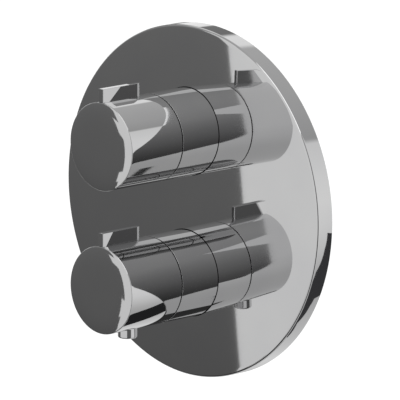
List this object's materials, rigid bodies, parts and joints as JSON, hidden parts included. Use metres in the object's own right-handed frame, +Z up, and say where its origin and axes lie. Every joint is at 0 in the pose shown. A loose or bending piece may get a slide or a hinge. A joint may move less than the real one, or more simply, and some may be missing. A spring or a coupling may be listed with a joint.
{
  "type": "thermostatic shower valve",
  "caption": "Concealed thermostatic shower valve: brass body with ceramic diverter and wax thermostat cartridges, two turning handles and a round chromed wall plate.",
  "frame": {"origin": "centre of the round wall plate on the finished wall's plane", "axes": "+Y into the wall, +Z up, +X to the right for someone who faces the plate"},
  "size_m": [0.19, 0.1332, 0.19],
  "materials": {
    "chrome_plate": "mirror chrome plate on brass",
    "cast_brass": "cast and machined brass, dull",
    "stainless_steel": "drawn or pressed stainless steel",
    "copper_bulb": "drawn copper",
    "seal_rubber": "matte moulded rubber",
    "gasket_foam": "closed-cell foam rubber",
    "moulded_polymer": "glass-filled moulded polymer",
    "ceramic_disc": "lapped alumina ceramic"
  },
  "bodies": {
    "valve": {"face_plate": "chrome_plate", "upper_collar": "moulded_polymer", "lower_collar": "moulded_polymer", "wall_gasket": "gasket_foam", "plate_seals": "seal_rubber", "upper_sleeve": "chrome_plate", "lower_sleeve": "chrome_plate", "sleeve_seals": "seal_rubber", "flow_cartridge_nut": "cast_brass", "flow_cartridge_body": "cast_brass", "flow_cartridge_seal": "seal_rubber", "flow_fixed_disc": "ceramic_disc", "flow_disc_seal": "seal_rubber", "thermostat_nut": "cast_brass", "thermostat_body": "moulded_polymer", "thermostat_seals": "seal_rubber", "temperature_stop_ring": "moulded_polymer", "cold_seat_ring": "stainless_steel", "return_spring": "stainless_steel", "spring_seat": "stainless_steel", "valve_body": "cast_brass", "hot_filter": "stainless_steel", "cold_filter": "stainless_steel", "hot_check_body": "moulded_polymer", "cold_check_body": "moulded_polymer", "hot_check_spring": "stainless_steel", "cold_check_spring": "stainless_steel"},
    "flow_control": {"flow_handle": "chrome_plate", "flow_tab": "chrome_plate", "flow_hub": "moulded_polymer", "flow_grub_screw": "stainless_steel", "flow_spindle": "cast_brass", "flow_spindle_seals": "seal_rubber", "flow_spindle_clip": "stainless_steel", "flow_moving_disc": "ceramic_disc"},
    "temperature_control": {"temperature_handle": "chrome_plate", "temperature_tab": "chrome_plate", "temperature_hub": "moulded_polymer", "temperature_grub_screw": "stainless_steel", "temperature_spindle": "cast_brass", "temperature_spindle_seals": "seal_rubber", "temperature_spindle_clip": "stainless_steel", "button_spring": "stainless_steel"},
    "button": {"safety_button": "chrome_plate", "button_latch": "stainless_steel"},
    "pusher": {"thermostat_pusher": "moulded_polymer", "overload_spring": "stainless_steel", "overload_cap": "stainless_steel"},
    "element": {"wax_element": "copper_bulb", "shuttle": "stainless_steel"},
    "hot_poppet": {"hot_check_poppet": "seal_rubber"},
    "cold_poppet": {"cold_check_poppet": "seal_rubber"}
  },
  "joints": [
    {"name": "flow_turn", "type": "hinge", "parent": "valve", "child": "flow_control", "pos_m": [0, 0, 0.0385], "axis": [0, 1, 0], "range_deg": [-90, 90]},
    {"name": "temperature_turn", "type": "hinge", "parent": "valve", "child": "temperature_control", "pos_m": [0, 0, -0.0385], "axis": [0, 1, 0], "range_deg": [0, 150]},
    {"name": "safety_button_press", "type": "slide", "parent": "temperature_control", "child": "button", "axis": [0, 0, 1], "range_m": [0, 0.0024], "stiffness_N_per_m": 300, "springref_m": -0.002, "deforming": ["button_spring"]},
    {"name": "pusher_slide", "type": "slide", "parent": "valve", "child": "pusher", "axis": [0, 1, 0], "range_m": [-0.00067, 0]},
    {"name": "element_slide", "type": "slide", "parent": "valve", "child": "element", "axis": [0, 1, 0], "range_m": [-0.00067, 0], "deforming": ["return_spring"]},
    {"name": "hot_check_open", "type": "slide", "parent": "valve", "child": "hot_poppet", "axis": [1, 0, 0], "range_m": [0, 0.0025], "stiffness_N_per_m": 50, "springref_m": -0.002, "deforming": ["hot_check_spring"]},
    {"name": "cold_check_open", "type": "slide", "parent": "valve", "child": "cold_poppet", "axis": [-1, 0, 0], "range_m": [0, 0.0025], "stiffness_N_per_m": 50, "springref_m": -0.002, "deforming": ["cold_check_spring"]}
  ],
  "couplings": [
    {"joint": "pusher_slide", "follows": "temperature_turn", "m_per_rad": -0.00025465},
    {"joint": "element_slide", "follows": "temperature_turn", "m_per_rad": -0.00025465}
  ]
}
